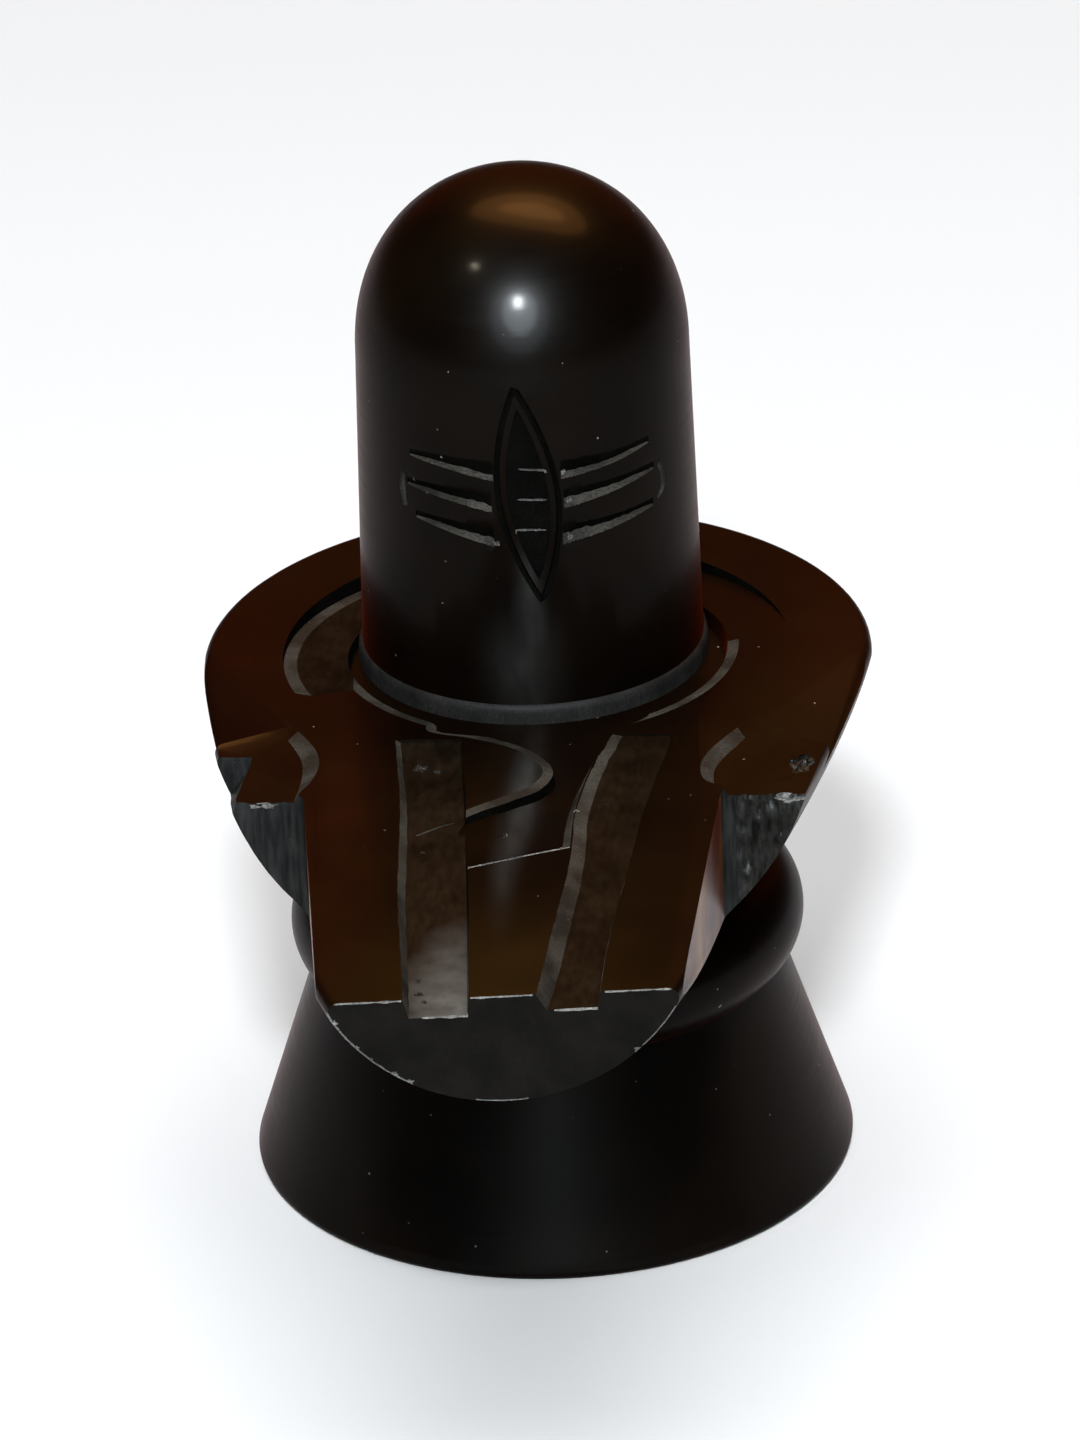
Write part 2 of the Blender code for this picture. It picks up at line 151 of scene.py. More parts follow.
def add_spot(tree, place, centre, radii):
    """1 at a centre in millimetres, falling to 0 at the radii."""
    mapping = tree.nodes.new("ShaderNodeMapping")
    mapping.inputs["Scale"].default_value = [1.0 / (r * MM) for r in radii]
    mapping.inputs["Location"].default_value = [-c / r for c, r in zip(centre, radii)]
    wire(tree, place, mapping.inputs["Vector"])
    ball = tree.nodes.new("ShaderNodeTexGradient")
    ball.gradient_type = "SPHERICAL"
    wire(tree, mapping.outputs["Vector"], ball.inputs["Vector"])
    return ball.outputs["Fac"]


# %% [markdown]
# The polished skin mirrors its room through a thin clear coat. Under it the stone is almost black, with faint
# brown clouds. Warm brown patches on the rim and the spout, and pale streaks down the channel and on the
# post's lower front, are painted reflections in its colour, placed where the real stone shows them.

# %% The polished skin
def polished_stone(name, gloss, tan=(0.0036, 0.0019, 0.0005)):
    """Near-black with faint brown clouds, painted brown and pale reflections, fine level polishing lines and a few
    specks of dust.
    """
    material, tree, shader, place = stone_finish(name, 0.022)
    # The red sheen tint is a painted reflection: it adds a red glow where the skin is seen at a grazing angle.
    shader.inputs["Sheen Weight"].default_value = 0.03
    shader.inputs["Sheen Roughness"].default_value = 0.35
    shader.inputs["Sheen Tint"].default_value = (1.0, 0.10, 0.02, 1.0)
    shader.inputs["Coat Weight"].default_value = gloss
    shader.inputs["Coat Roughness"].default_value = 0.15
    clouds = add_noise(tree, place, 55.0, 5.0)
    # The tan at the light end of these clouds is the stone's own tone on the skin, and a painted reflection on the
    # flank wall.
    skin = add_ramp(tree, clouds, [(0.35, (0.0014, 0.0007, 0.0003)), (0.7, tan)])
    # Painted reflections: pale spots down the channel and on the post's lower front, and warm brown ones on the rim,
    # the spout's top and its nose.
    pale_reflection_places = [((1.0, -42.0, 79.0), (3.4, 26.0, 6.0)), ((-1.0, -62.0, 80.0), (3.6, 34.0, 5.0)),
             ((0.5, -19.5, 99.0), (3.4, 8.0, 12.0)), ((-1.0, -19.0, 86.0), (9.0, 12.0, 13.0))]
    for centre, radii, brown in (((-25.0, -58.0, 80.0), (9.0, 56.0, 7.0), (0.014, 0.003, 0.001)),
                                 ((0.0, -110.0, 80.0), (30.0, 34.0, 8.0), (0.022, 0.012, 0.002)),
                                 ((-42.0, -6.0, 80.0), (18.0, 48.0, 9.0), (0.009, 0.001, 0.0003)),
                                 ((44.0, 4.0, 80.0), (14.0, 44.0, 9.0), (0.012, 0.003, 0.001))):
        painted_reflection_patch = add_maths(tree, "MULTIPLY", add_spot(tree, place, centre, radii), add_noise(tree, place, 70.0, 4.0))
        skin = add_mix(tree, painted_reflection_patch, skin, brown)
    pale_reflection_mask = None
    for centre, radii in pale_reflection_places:
        spot = add_spot(tree, place, centre, radii)
        pale_reflection_mask = spot if pale_reflection_mask is None else add_maths(tree, "ADD", pale_reflection_mask, spot)
    pale_reflection_mask = add_maths(tree, "MULTIPLY", pale_reflection_mask, pale_reflection_mask)
    pale_reflection_streaks = add_maths(tree, "MULTIPLY", pale_reflection_mask, add_noise(tree, place, 320.0, 5.0, (1.0, 0.25, 0.4)))
    skin = add_mix(tree, pale_reflection_streaks, skin, (0.040, 0.042, 0.040))
    dust = add_noise(tree, place, 900.0, 1.0)
    specks = add_ramp(tree, dust, [(0.80, grey(0.0)), (0.83, grey(1.0))])
    colour = add_mix(tree, specks, skin, (0.20, 0.18, 0.15))
    wire(tree, colour, shader.inputs["Base Color"])
    lines = add_noise(tree, place, 60.0, 5.0, (1.0, 1.0, 34.0))
    smears = add_noise(tree, place, 120.0, 3.0)
    wear = add_maths(tree, "ADD", add_maths(tree, "MULTIPLY", lines, 0.14), add_maths(tree, "MULTIPLY", smears, 0.10))
    wire(tree, add_maths(tree, "ADD", wear, 0.26), shader.inputs["Roughness"])
    add_bump(tree, shader, lines, 0.12, 0.05)
    return material


# %% [markdown]
# Where a tool cut the stone it scatters light. Its grain, patches and crystals have real sizes in millimetres,
# and the same helper makes every matt finish.

# %% The matt cut stone
def cut_stone(name, dark, light, roughness, grain_mm, streak, depth_mm, gloss_level=0.04, pale_end=None, patchy=0.55):
    """Stone left by a tool: grey, with bright crystals, and rough at the tool's own grain."""
    material, tree, shader, place = stone_finish(name, gloss_level)
    grain = add_noise(tree, place, 1.0 / (grain_mm * MM), 6.0, streak)
    patches = add_noise(tree, place, 160.0, 4.0)
    base = add_ramp(tree, grain, [(0.28, dark), (0.74, light)])
    shade = add_ramp(tree, patches, [(0.38, grey(patchy)), (0.64, grey(1.0))])
    dull = tree.nodes.new("ShaderNodeMix")
    dull.data_type = "RGBA"
    dull.blend_type = "MULTIPLY"
    dull.inputs["Factor"].default_value = 1.0
    wire(tree, base, dull.inputs["A"])
    wire(tree, shade, dull.inputs["B"])
    stone_colour = dull.outputs["Result"]
    if pale_end:
        # A paler patch towards the place given by pale_end.
        worn = add_maths(tree, "MULTIPLY", add_spot(tree, place, *pale_end), add_noise(tree, place, 240.0, 4.0))
        worn = add_ramp(tree, worn, [(0.02, grey(0.0)), (0.60, grey(0.8))])
        stone_colour = add_mix(tree, worn, stone_colour, (0.16, 0.155, 0.14))
    crystals = add_ramp(tree, add_noise(tree, place, 1400.0, 1.0), [(0.76, grey(0.0)), (0.82, grey(0.6))])
    colour = add_mix(tree, crystals, stone_colour, tuple(min(1.0, 2.2 * v) for v in light))
    wire(tree, colour, shader.inputs["Base Color"])
    rough = add_ramp(tree, patches, [(0.3, grey(roughness - 0.08)), (0.7, grey(roughness + 0.08))])
    wire(tree, rough, shader.inputs["Roughness"])
    add_bump(tree, shader, grain, 0.6, depth_mm)
    return material


polished = polished_stone("polished black stone", 0.045)
# The flank wall's skin carries a strong tan in its clouds, a painted reflection.
flank_wall_painted_reflection = polished_stone("polished flank wall, painted reflection", 0.14, (0.15, 0.072, 0.022))
banked = cut_stone("matt chiselled bank", (0.022, 0.020, 0.016), (0.066, 0.061, 0.050), 0.75, 0.24, (1, 1, 1), 0.2,
                   patchy=0.28)
# The strip floor turns paler towards the nose end.
strip_floor = cut_stone("satin strip floor", (0.0040, 0.0028, 0.0015), (0.0115, 0.0080, 0.0046), 0.5, 0.9,
                        (1, 0.35, 1), 0.05, 0.012, ((-6.0, -112.0, 77.0), (10.0, 34.0, 8.0)))
sawn = cut_stone("sawn grey face", (0.003, 0.003, 0.003), (0.030, 0.032, 0.031), 0.55, 0.6, (1, 1, 0.12), 0.25)
pecked = cut_stone("pecked black face", (0.002, 0.002, 0.002), (0.034, 0.034, 0.029), 0.40, 0.5, (1, 1, 0.3), 0.3, 0.07)
ground = cut_stone("ground nose face", (0.0036, 0.0031, 0.0024), (0.0075, 0.0066, 0.0052), 0.42, 0.3, (1, 1, 0.5), 0.04)
dull_ring = cut_stone("unpolished ring", (0.009, 0.009, 0.009), (0.026, 0.025, 0.023), 0.6, 0.3, (1, 1, 0.4), 0.1)
# This dark finish is painted shade: it goes on steep walls and sunk parts that lie in shadow.
painted_shade_cut = cut_stone("dark cut line, painted shade", (0.0010, 0.0009, 0.0007), (0.0040, 0.0036, 0.0028), 0.6, 0.5, (1, 1, 1), 0.1,
                     0.01)
print("finishes:", [m.name for m in (polished, banked, strip_floor, sawn, pecked, ground)])

# %% [markdown]
# ## Rolling a grid up into a form
# A turned foot, a drawn-out spout and a cutter for a groove have one thing in common: each is a row of
# sections, skinned over. A flat grid is added and its points are carried row by row to those sections.
# The seam is then merged, and both ends are closed.

# %% Roll up a grid
def deselect():
    """Nothing selected, in object mode."""
    if bpy.context.object and bpy.context.object.mode != "OBJECT":
        bpy.ops.object.mode_set(mode="OBJECT")
    bpy.ops.object.select_all(action="DESELECT")


def carried_grid(name, sections, closed):
    """A grid with one row for each section, its points carried to millimetre places."""
    deselect()
    rows = len(sections) - 1
    columns = len(sections[0]) if closed else len(sections[0]) - 1
    bpy.ops.mesh.primitive_grid_add(x_subdivisions=columns, y_subdivisions=rows, size=2.0)
    piece = bpy.context.object
    piece.name = name
    for vertex in piece.data.vertices:
        column = round((vertex.co.x + 1.0) / 2.0 * columns) % len(sections[0])
        row = round((vertex.co.y + 1.0) / 2.0 * rows)
        vertex.co = Vector(sections[row][column]) * MM
    bpy.ops.object.mode_set(mode="EDIT")
    bpy.ops.mesh.select_all(action="SELECT")
    bpy.ops.mesh.remove_doubles(threshold=0.000001)
    return piece


def rolled(name, sections, finish):
    """A closed form over closed sections, with all its faces in one finish."""
    piece = carried_grid(name, sections, closed=True)
    bpy.ops.mesh.fill_holes(sides=0)
    bpy.ops.mesh.select_all(action="SELECT")
    bpy.ops.mesh.normals_make_consistent(inside=False)
    bpy.ops.object.mode_set(mode="OBJECT")
    piece.data.materials.append(finish)
    return piece


def paint(piece, finish, rule):
    """Gives a finish to the faces whose middle, in millimetres, meets the rule."""
    piece.data.materials.append(finish)
    index = len(piece.data.materials) - 1
    painted = 0
    for face in piece.data.polygons:
        if rule(face.center / MM, face.normal):
            face.material_index = index
            painted += 1
    return painted


def ring(radius, height, centre=(0.0, 0.0), sides=192):
    """One level ring of points."""
    points = []
    for k in range(sides):
        angle = 2.0 * math.pi * k / sides
        points.append((centre[0] + radius * math.cos(angle), centre[1] + radius * math.sin(angle), height))
    return points


def arc(centre, radius, start, end, steps):
    """Points (across, up) on a circle from one angle to another."""
    angles = [start + (end - start) * k / steps for k in range(steps + 1)]
    return [(centre[0] + radius * math.cos(a), centre[1] + radius * math.sin(a)) for a in angles]


def combine(target, tool, operation="DIFFERENCE"):
    """Joins or cuts with another solid. The cut faces keep the tool's finish."""
    deselect()
    bpy.context.view_layer.objects.active = target
    modifier = target.modifiers.new(tool.name, "BOOLEAN")
    modifier.operation = operation
    modifier.object = tool
    modifier.solver = "MANIFOLD"
    modifier.material_mode = "TRANSFER"
    bpy.ops.object.modifier_apply(modifier=modifier.name)
    bpy.data.objects.remove(tool)


def along(points, place):
    """A smooth value between (place, value) points, by Catmull-Rom."""
    points = sorted(points)
    if place <= points[0][0]:
        return points[0][1]
    if place >= points[-1][0]:
        return points[-1][1]
    k = max(i for i, p in enumerate(points) if p[0] <= place)
    k = min(k, len(points) - 2)
    (x1, y1), (x2, y2) = points[k], points[k + 1]
    x0, y0 = points[k - 1] if k > 0 else (x1 - 1.0, y1)
    x3, y3 = points[k + 2] if k + 2 < len(points) else (x2 + 1.0, y2)
    t = (place - x1) / (x2 - x1)
    m1 = (y2 - y0) / (x2 - x0) * (x2 - x1)
    m2 = (y3 - y1) / (x3 - x1) * (x2 - x1)
    return ((2 * t**3 - 3 * t**2 + 1) * y1 + (t**3 - 2 * t**2 + t) * m1
            + (3 * t**2 - 2 * t**3) * y2 + (t**3 - t**2) * m2)


# %% [markdown]
# ## Foot, bead and neck
# On the real piece these were turned on a lathe: a plain cone, a round bead in the crease over it, and a
# short neck that runs up into the bowl. A profile is followed from the underside up to the hidden neck.

# %% Turn the pedestal
TOP = 80.0
profile = arc((42.9, 1.0), 1.0, -0.5 * math.pi, 0.31, 6)
for k in range(1, 25):
    share = k / 24
    profile.append((profile[6][0] + (34.0 - profile[6][0]) * share, profile[6][1] + (31.2 - profile[6][1]) * share))
bead_z = 31.2 + math.sqrt(7.9**2 - 4.5**2)
profile += arc((29.5, bead_z), 7.9, math.atan2(31.2 - bead_z, 4.5), math.acos(-1.9 / 7.9), 36)
profile += [(27.6, 50.0), (27.6, 60.0)]
foot = rolled("turned foot", [ring(r, z) for r, z in profile], polished)
print("foot:", len(foot.data.polygons), "faces")

# %% [markdown]
# ## The hull of basin and spout
# Half a section of the bowl is swept from the nose along the right side, round the back and out along the
# left side. Behind, it turns about the upright axis. In front, it shrinks towards the nose, a little
# faster on the left than on the right, as the carver left it.

# %% Sweep the hull
BOWL, RISE, REACH, NOSE = 49.7, 10.8, 106.3, 26.7
HULL_Z = TOP + RISE


def hull_radius(y, sweep):
    """Radius of the spout's round section at a distance in front of the axis."""
    return BOWL - (BOWL - NOSE) * max(0.0, -y / REACH) ** sweep


def half_section(keel, side, rounding=1.5, steps=48):
    """Half a section from the keel up to the rim, whose edge is rounded."""
    round_z = TOP - rounding
    round_x = math.sqrt((side - rounding) ** 2 - (HULL_Z - round_z) ** 2)
    tilt = math.atan2(round_z - HULL_Z, round_x)
    points = []
    for k in range(steps + 1):
        share = k / steps
        angle = -0.5 * math.pi + (tilt + 0.5 * math.pi) * share
        radius = keel + (side - keel) * share**2 * (3.0 - 2.0 * share)
        points.append((radius * math.cos(angle), HULL_Z + radius * math.sin(angle)))
    return points + arc((round_x, round_z), rounding, tilt, 0.5 * math.pi, 7)[1:]


def hull_rows():
    """Every half section as points in space, in order from the right of the nose to the left."""
    rows = []
    spout = [-112.0 * k / 56 for k in range(56, 0, -1)]
    for y in spout:
        keel = 0.5 * (hull_radius(y, 1.45) + hull_radius(y, 1.2))
        rows.append([(x, y, z) for x, z in half_section(keel, hull_radius(y, 1.2))])
    for k in range(121):
        angle = math.pi * k / 120
        half = half_section(BOWL, BOWL)
        rows.append([(r * math.cos(angle), r * math.sin(angle), z) for r, z in half])
    for y in reversed(spout):
        keel = 0.5 * (hull_radius(y, 1.45) + hull_radius(y, 1.2))
        rows.append([(-x, y, z) for x, z in half_section(keel, hull_radius(y, 1.45))])
    return rows


stone = carried_grid("shiva_lingam_stone", hull_rows(), closed=False)
bpy.ops.mesh.select_all(action="DESELECT")
bpy.ops.object.mode_set(mode="OBJECT")
for vertex in stone.data.vertices:
    vertex.select = vertex.co.z > (TOP - 0.001) * MM
bpy.ops.object.mode_set(mode="EDIT")
bpy.ops.mesh.edge_face_add()
bpy.ops.mesh.select_all(action="SELECT")
bpy.ops.mesh.fill_holes(sides=0)
bpy.ops.mesh.select_all(action="SELECT")
bpy.ops.mesh.normals_make_consistent(inside=False)
bpy.ops.object.mode_set(mode="OBJECT")
stone.data.materials.append(polished)
combine(stone, foot, "UNION")
print("hull and foot:", len(stone.data.polygons), "faces")

# %% [markdown]
# ## Sawing the nose and the flanks
# A saw took off the front of the spout and both flanks. Where the saw turned in behind each flank the
# stone was left rough: streaked on the left, pecked with a point on the right. So the tool solids that cut
# here have a finely divided, uneven back wall, and the cut face takes that relief from it.

# %% Cutters with straight walls
def upright(name, outline, low, high, finish):
    """An upright cutter over a plan outline."""
    return rolled(name, [[(x, y, low) for x, y in outline], [(x, y, high) for x, y in outline]], finish)


def nose_y(x):
    """Place of the nose's flat face, a little skewed."""
    return -REACH + x * math.tan(math.radians(4.8))


def roughen(piece, step_mm, rule, push):
    """Divides the faces that meet a rule down to a step, then pushes their inner points about."""
    deselect()
    bpy.context.view_layer.objects.active = piece
    piece.select_set(True)
    bpy.ops.object.mode_set(mode="EDIT")
    mesh = bmesh.from_edit_mesh(piece.data)
    bpy.ops.mesh.select_all(action="DESELECT")
    chosen = [face for face in mesh.faces if rule(face.calc_center_median() / MM, face.normal)]
    for face in chosen:
        face.select_set(True)
    longest = max(edge.calc_length() for face in chosen for edge in face.edges)
    bmesh.update_edit_mesh(piece.data)
    bpy.ops.mesh.subdivide(number_cuts=max(1, int(longest / MM / step_mm)))
    mesh = bmesh.from_edit_mesh(piece.data)
    mesh.normal_update()
    for vertex in mesh.verts:
        if vertex.select and all(face.select for face in vertex.link_faces):
            place = vertex.co / MM
            vertex.co += vertex.normal * push(place) * MM
    bmesh.update_edit_mesh(piece.data)
    bpy.ops.object.mode_set(mode="OBJECT")


def saw_streaks(place):
    """Shallow upright streaks, about a millimetre apart."""
    wide = noise.noise(Vector((place.x * 0.45, place.y * 0.45, place.z * 0.04)))
    fine = noise.noise(Vector((place.x * 1.6, place.y * 1.6, place.z * 0.10)))
    return 0.55 * wide + 0.22 * fine


def pecks(place):
    """Small deep hollows from a pointed tool, drawn out a little downwards."""
    cells = noise.noise(Vector((place.x * 0.75, place.y * 0.75, place.z * 0.38)))
    fine = noise.noise(Vector((place.x * 1.7, place.y * 1.7, place.z * 0.9)))
    return 0.75 * cells + 0.30 * fine


nose_outline = [(-60.0, nose_y(-60.0)), (-60.0, -125.0), (60.0, -125.0), (60.0, nose_y(60.0))]
combine(stone, upright("nose saw", nose_outline, 30.0, 90.0, ground))


def flank(name, side, wall_x, flank_y, rough):
    """What the saw took off one flank, on the side -1 or +1."""
    slope = (24.3 - wall_x) / (REACH + flank_y)
    outline = [(56.0, -128.0), (56.0, flank_y)]
    outline += arc((wall_x + 2.4, flank_y - 2.4), 2.4, 0.5 * math.pi, math.pi, 8)
    outline.append((wall_x + slope * (flank_y + 128.0), -128.0))
    # The tool's walls carry the flank wall's finish, with its painted tan reflection.
    tool = upright(name, [(side * x, y) for x, y in outline], 30.0, 90.0, flank_wall_painted_reflection)
    paint(tool, sawn if side < 0 else pecked, lambda c, n: n.y > 0.7 and abs(c.x) > wall_x + 1.0)
    paint(tool, sawn, lambda c, n: n.y > 0.2 and abs(c.x) < wall_x + 2.5 and abs(n.x) > 0.05)
    roughen(tool, 0.6, lambda c, n: n.y > 0.99, rough)
    combine(stone, tool)


flank("right flank saw", 1.0, 27.8, -44.9, pecks)
flank("left flank saw", -1.0, 30.2, -46.2, saw_streaks)
print("after the saw:", len(stone.data.polygons), "faces")

# %% [markdown]
# ## Ledges and ground facets behind the flanks
# Behind each flank a shallow ledge was cut. It runs out gently towards the back, and its inner end is a bowed
# gouge line whose matt wall catches the light. The front corners of the rim were then ground off in a flat,
# sloping facet.

# %% Cut the ledges
def sloped(name, stations, finish, wall_finish=None, over=6.0):
    """A long cutter from stations (y, left top, left floor, right floor, right top, floor z)."""
    sections = []
    for y, left_top, left, right, right_top, floor in stations:
        lift = over / max(TOP - floor, 0.15)
        grow_left = (left_top - left) * (1.0 + lift)
        grow_right = (right_top - right) * (1.0 + lift)
        high = TOP + over
        sections.append([(left, y, floor), (right, y, floor), (right + grow_right, y, high),
                         (left + grow_left, y, high)])
    tool = rolled(name, sections, finish)
    if wall_finish:
        tool.data.materials.append(wall_finish)
        for face in tool.data.polygons[:4 * (len(stations) - 1)]:
            if face.index % 4 == 3:
                face.material_index = 1
    return tool


def smoothed(points, parts=5):
    """More points between the given ones, on a smooth curve through them."""
    lines = [[(k, point[axis]) for k, point in enumerate(points)] for axis in range(len(points[0]))]
    steps = (len(points) - 1) * parts
    return [tuple(along(line, k / parts) for line in lines) for k in range(steps + 1)]


def ledge(name, side, gouge, back, front_y):
    """A gently falling cut: a gouged inner line, then a back line. Points are (top x, top y, floor x, floor y)."""
    edge = smoothed(gouge) + back + [(56.0, back[-1][1], 56.0, back[-1][3]), (56.0, front_y, 56.0, front_y)]
    floor = [(side * point[2], point[3], TOP - 0.35 - 0.055 * (-28.0 - point[3])) for point in edge]
    top = [(side * point[0], point[1], TOP) for point in edge]
    over = [(x, y, TOP + 6.0) for x, y, z in top]
    tool = rolled(name, [floor, top, over], polished)
    paint(tool, banked, lambda c, n: abs(n.z) < 0.985 and abs(c.x) < gouge[-1][0] - 0.3 and c.z < TOP)
    combine(stone, tool)


ledge("right ledge", 1.0,
      [(28.4, -52.0, 28.9, -52.0), (28.3, -45.6, 29.0, -45.6), (25.4, -42.6, 27.0, -42.8), (24.8, -38.0, 26.7, -38.2),
       (25.9, -33.7, 28.0, -34.4), (28.0, -29.4, 29.8, -31.0), (30.4, -25.3, 31.2, -28.2)],
      [(35.6, -26.1, 35.8, -28.6), (42.3, -27.2, 42.5, -28.8)], -52.0)
ledge("left ledge", -1.0,
      [(31.4, -52.0, 31.9, -52.0), (31.2, -46.6, 31.9, -46.6), (29.6, -42.2, 31.4, -42.4), (28.9, -37.6, 31.2, -37.8),
       (29.4, -33.6, 31.7, -34.2), (31.0, -29.6, 33.0, -30.8), (33.4, -25.2, 34.4, -27.8)],
      [(38.0, -27.0, 38.2, -29.0), (42.9, -29.3, 43.0, -30.9)], -52.0)

# %% [markdown]
# A grinder took each front corner of the rim off in one stroke, so a single plane is cut there.

# %% Grind the facets
def facet(name, side, start, end, drop):
    """A plane that leaves the top along a line and falls away outwards."""
    start, end = Vector((*start, TOP)), Vector((*end, TOP))
    run = (end - start).normalized()
    out = Vector((side * abs(run.y), -abs(run.x), 0.0))
    fall = math.tan(math.radians(drop))
    sections = []
    for corner in (start - run * 50.0, end):
        far = corner + out * 50.0
        high = corner - out * (6.0 / fall) + Vector((0, 0, 6.0))
        sections.append([tuple(far - Vector((0, 0, 50.0 * fall))), tuple(far + Vector((0, 0, 6.0))), tuple(high)])
    combine(stone, rolled(name, sections, polished))


facet("right facet", 1.0, (46.8, -2.8), (33.0, -25.4), 24.0)
facet("left facet", -1.0, (-46.8, -1.8), (-34.4, -25.4), 24.0)
print("after the ledges:", len(stone.data.polygons), "faces")

# %% [markdown]
# ## Moat, recess, channel and strips
# The basin's hollow is a round moat with a wider, shallower recess behind it. A channel leads from the
# moat along the spout, round a tongue of stone that was left standing on its left. Two sunk strips run
# down to the nose. All their walls lean a little and were left matt from the chisel; the steep walls that lie
# in shadow are painted dark as shade.

# %% Cut the moat and the recess
FLOOR = 77.2
moat = rolled("moat", [ring(27.0, FLOOR), ring(27.4, TOP - 0.28), ring(29.0, TOP), ring(30.0, TOP + 6.0)], polished)
paint(moat, banked, lambda c, n: TOP - 0.28 < c.z < TOP and c.y < (14.0 if c.x < 12.0 else 2.0))
# The moat's steep walls, away from its right side, are painted dark as shade.
paint(moat, painted_shade_cut, lambda c, n: c.z < TOP - 0.28 and abs(n.z) < 0.9 and c.x < 12.0)
combine(stone, moat)

left_end, right_end, back_end = Vector((-33.4, -16.0, TOP)), Vector((36.2, 5.0, TOP)), Vector((0.0, 35.7, TOP - 2.4))
tilt = (right_end - left_end).cross(back_end - left_end)


def recess_ring(radius, lift):
    """A ring on the recess's tilted floor, or lifted above it."""
    points = []
    for x, y, _ in ring(radius, 0.0, (0.0, -1.0)):
        z = TOP - (tilt.x * (x - left_end.x) + tilt.y * (y - left_end.y)) / tilt.z
        points.append((x, y, z + lift))
    return points


recess = rolled("recess", [recess_ring(26.0, 0.0), recess_ring(31.0, 0.0), recess_ring(34.6, 0.0),
                           recess_ring(36.5, 0.1), recess_ring(36.9, 2.5), recess_ring(39.0, 12.0)], polished)
# The recess's steep walls are painted dark as shade.
paint(recess, painted_shade_cut, lambda c, n: abs(n.z) < 0.9)
paint(recess, strip_floor, lambda c, n: n.z < -0.9 and c.x < 12.0)
paint(recess, banked, lambda c, n: n.z < -0.9 and c.x < 8.0 and math.hypot(c.x, c.y + 1.0) > 34.7)
combine(stone, recess)

# %% [markdown]
# The channel's left side goes round a tongue that the carver left standing. Its lines are smooth curves through
# a few points, and its floor rises to run out along the spout.

# %% Cut the channel round its tongue
tongue = [(-22.0, -16.0), (-24.3, -14.6), (-27.2, -13.8), (-29.2, -8.1), (-31.8, -3.0), (-35.3, 0.7), (-39.7, 2.7),
          (-44.3, 1.2), (-47.9, -2.9), (-51.5, -7.3), (-54.5, -8.6), (-70.0, -7.4)]
ridge = [(-22.0, 17.0), (-24.5, 15.2), (-27.0, 12.2), (-30.0, 11.2), (-39.5, 9.3), (-52.0, 7.8), (-70.0, 7.6)]
sections = []
skew = math.tan(math.radians(24.0))
for k in range(101):
    share = k / 100
    y = -19.0 - 46.5 * share
    left, right = along(tongue, y), along(ridge, y)
    lean = math.hypot(1.0, (along(tongue, y - 0.2) - along(tongue, y + 0.2)) / 0.4)
    chamfer = 0.08 + 1.35 * lean * min(1.0, max(0.0, (y + 56.0) / 4.0)) * min(1.0, max(0.0, (-22.0 - y) / 3.0))
    floor = FLOOR + 0.03 + (TOP - 0.5 - FLOOR) * share**1.3
    lip = max(floor + 0.05, TOP - 0.28)
    points = [(left + chamfer + 0.3, floor), (right - 1.1, floor), (right, TOP), (right + 1.0, TOP + 6.0),
              (left - 1.0, TOP + 6.0), (left, TOP), (left + chamfer, lip)]
    bend = max(0.0, (-50.0 - y) / 15.5) ** 2
    sections.append([(x, y + skew * (x - 1.0) * bend, z) for x, z in points])
channel = rolled("channel", sections, polished)
# The channel's wall on the tongue's side is painted dark as shade.
paint(channel, painted_shade_cut, lambda c, n: c.x < 5.0 and abs(n.z) < 0.9 and c.z < TOP - 0.28)
paint(channel, banked, lambda c, n: c.z < TOP and c.z > TOP - 0.28 and c.x < 5.0 and c.y > -56.0)
paint(channel, banked, lambda c, n: c.z < TOP and n.x > 0.3 and abs(n.y) < 0.9)
combine(stone, channel)

# %% [markdown]
# Each strip deepens towards the nose. Its left wall leans and stays matt, as a chisel leaves it.

# %% Cut the two strips
def strip(name, left_line, right_line, depth, bank, start_y):
    """A sunk strip: (y, x) lines of both edges, and (y, depth) points. It runs out over the nose."""
    stations = []
    for k in range(61):
        y = start_y + (-113.0 - start_y) * k / 60
        left, right = along(left_line, y), along(right_line, y)
        down = along(depth, y)
        wobble = 0.16 * noise.noise(Vector((y * 0.35, left, 0.0)))
        wall = along(bank, y)
        stations.append((y, left + wobble, left + wobble + wall, right - 0.2, right + 0.1, TOP - down))
    tool = sloped(name, stations, strip_floor, banked)
    return tool


left_strip = strip("left strip", [(-113.0, -12.5), (-107.0, -12.7), (-78.3, -15.2), (-48.3, -16.8), (-29.0, -18.7)],
                   [(-113.0, -3.8), (-107.0, -4.0), (-78.5, -5.6), (-48.4, -7.7), (-31.0, -9.2)],
                   [(-113.0, 2.9), (-107.0, 2.7), (-75.0, 1.5), (-30.0, 0.45)],
                   [(-113.0, 0.6), (-95.0, 0.9), (-60.0, 1.0), (-30.0, 0.7)], -29.6)
combine(stone, left_strip)
right_strip = strip("right strip", [(-113.0, 4.6), (-107.0, 5.0), (-96.0, 5.8), (-79.0, 7.0), (-67.0, 7.8),
                                    (-52.0, 8.0), (-39.5, 9.6), (-27.0, 12.4)],
                    [(-113.0, 13.2), (-107.5, 13.4), (-96.1, 13.7), (-81.7, 14.6), (-70.0, 15.8), (-50.0, 17.6),
                     (-30.0, 20.5)],
                    [(-113.0, 2.7), (-107.0, 2.5), (-75.0, 1.2), (-50.0, 0.7), (-28.0, 0.25)],
                    [(-113.0, 1.0), (-95.0, 1.8), (-60.0, 1.8), (-30.0, 1.4)], -28.5)
combine(stone, right_strip)
print("after the carving:", len(stone.data.polygons), "faces")

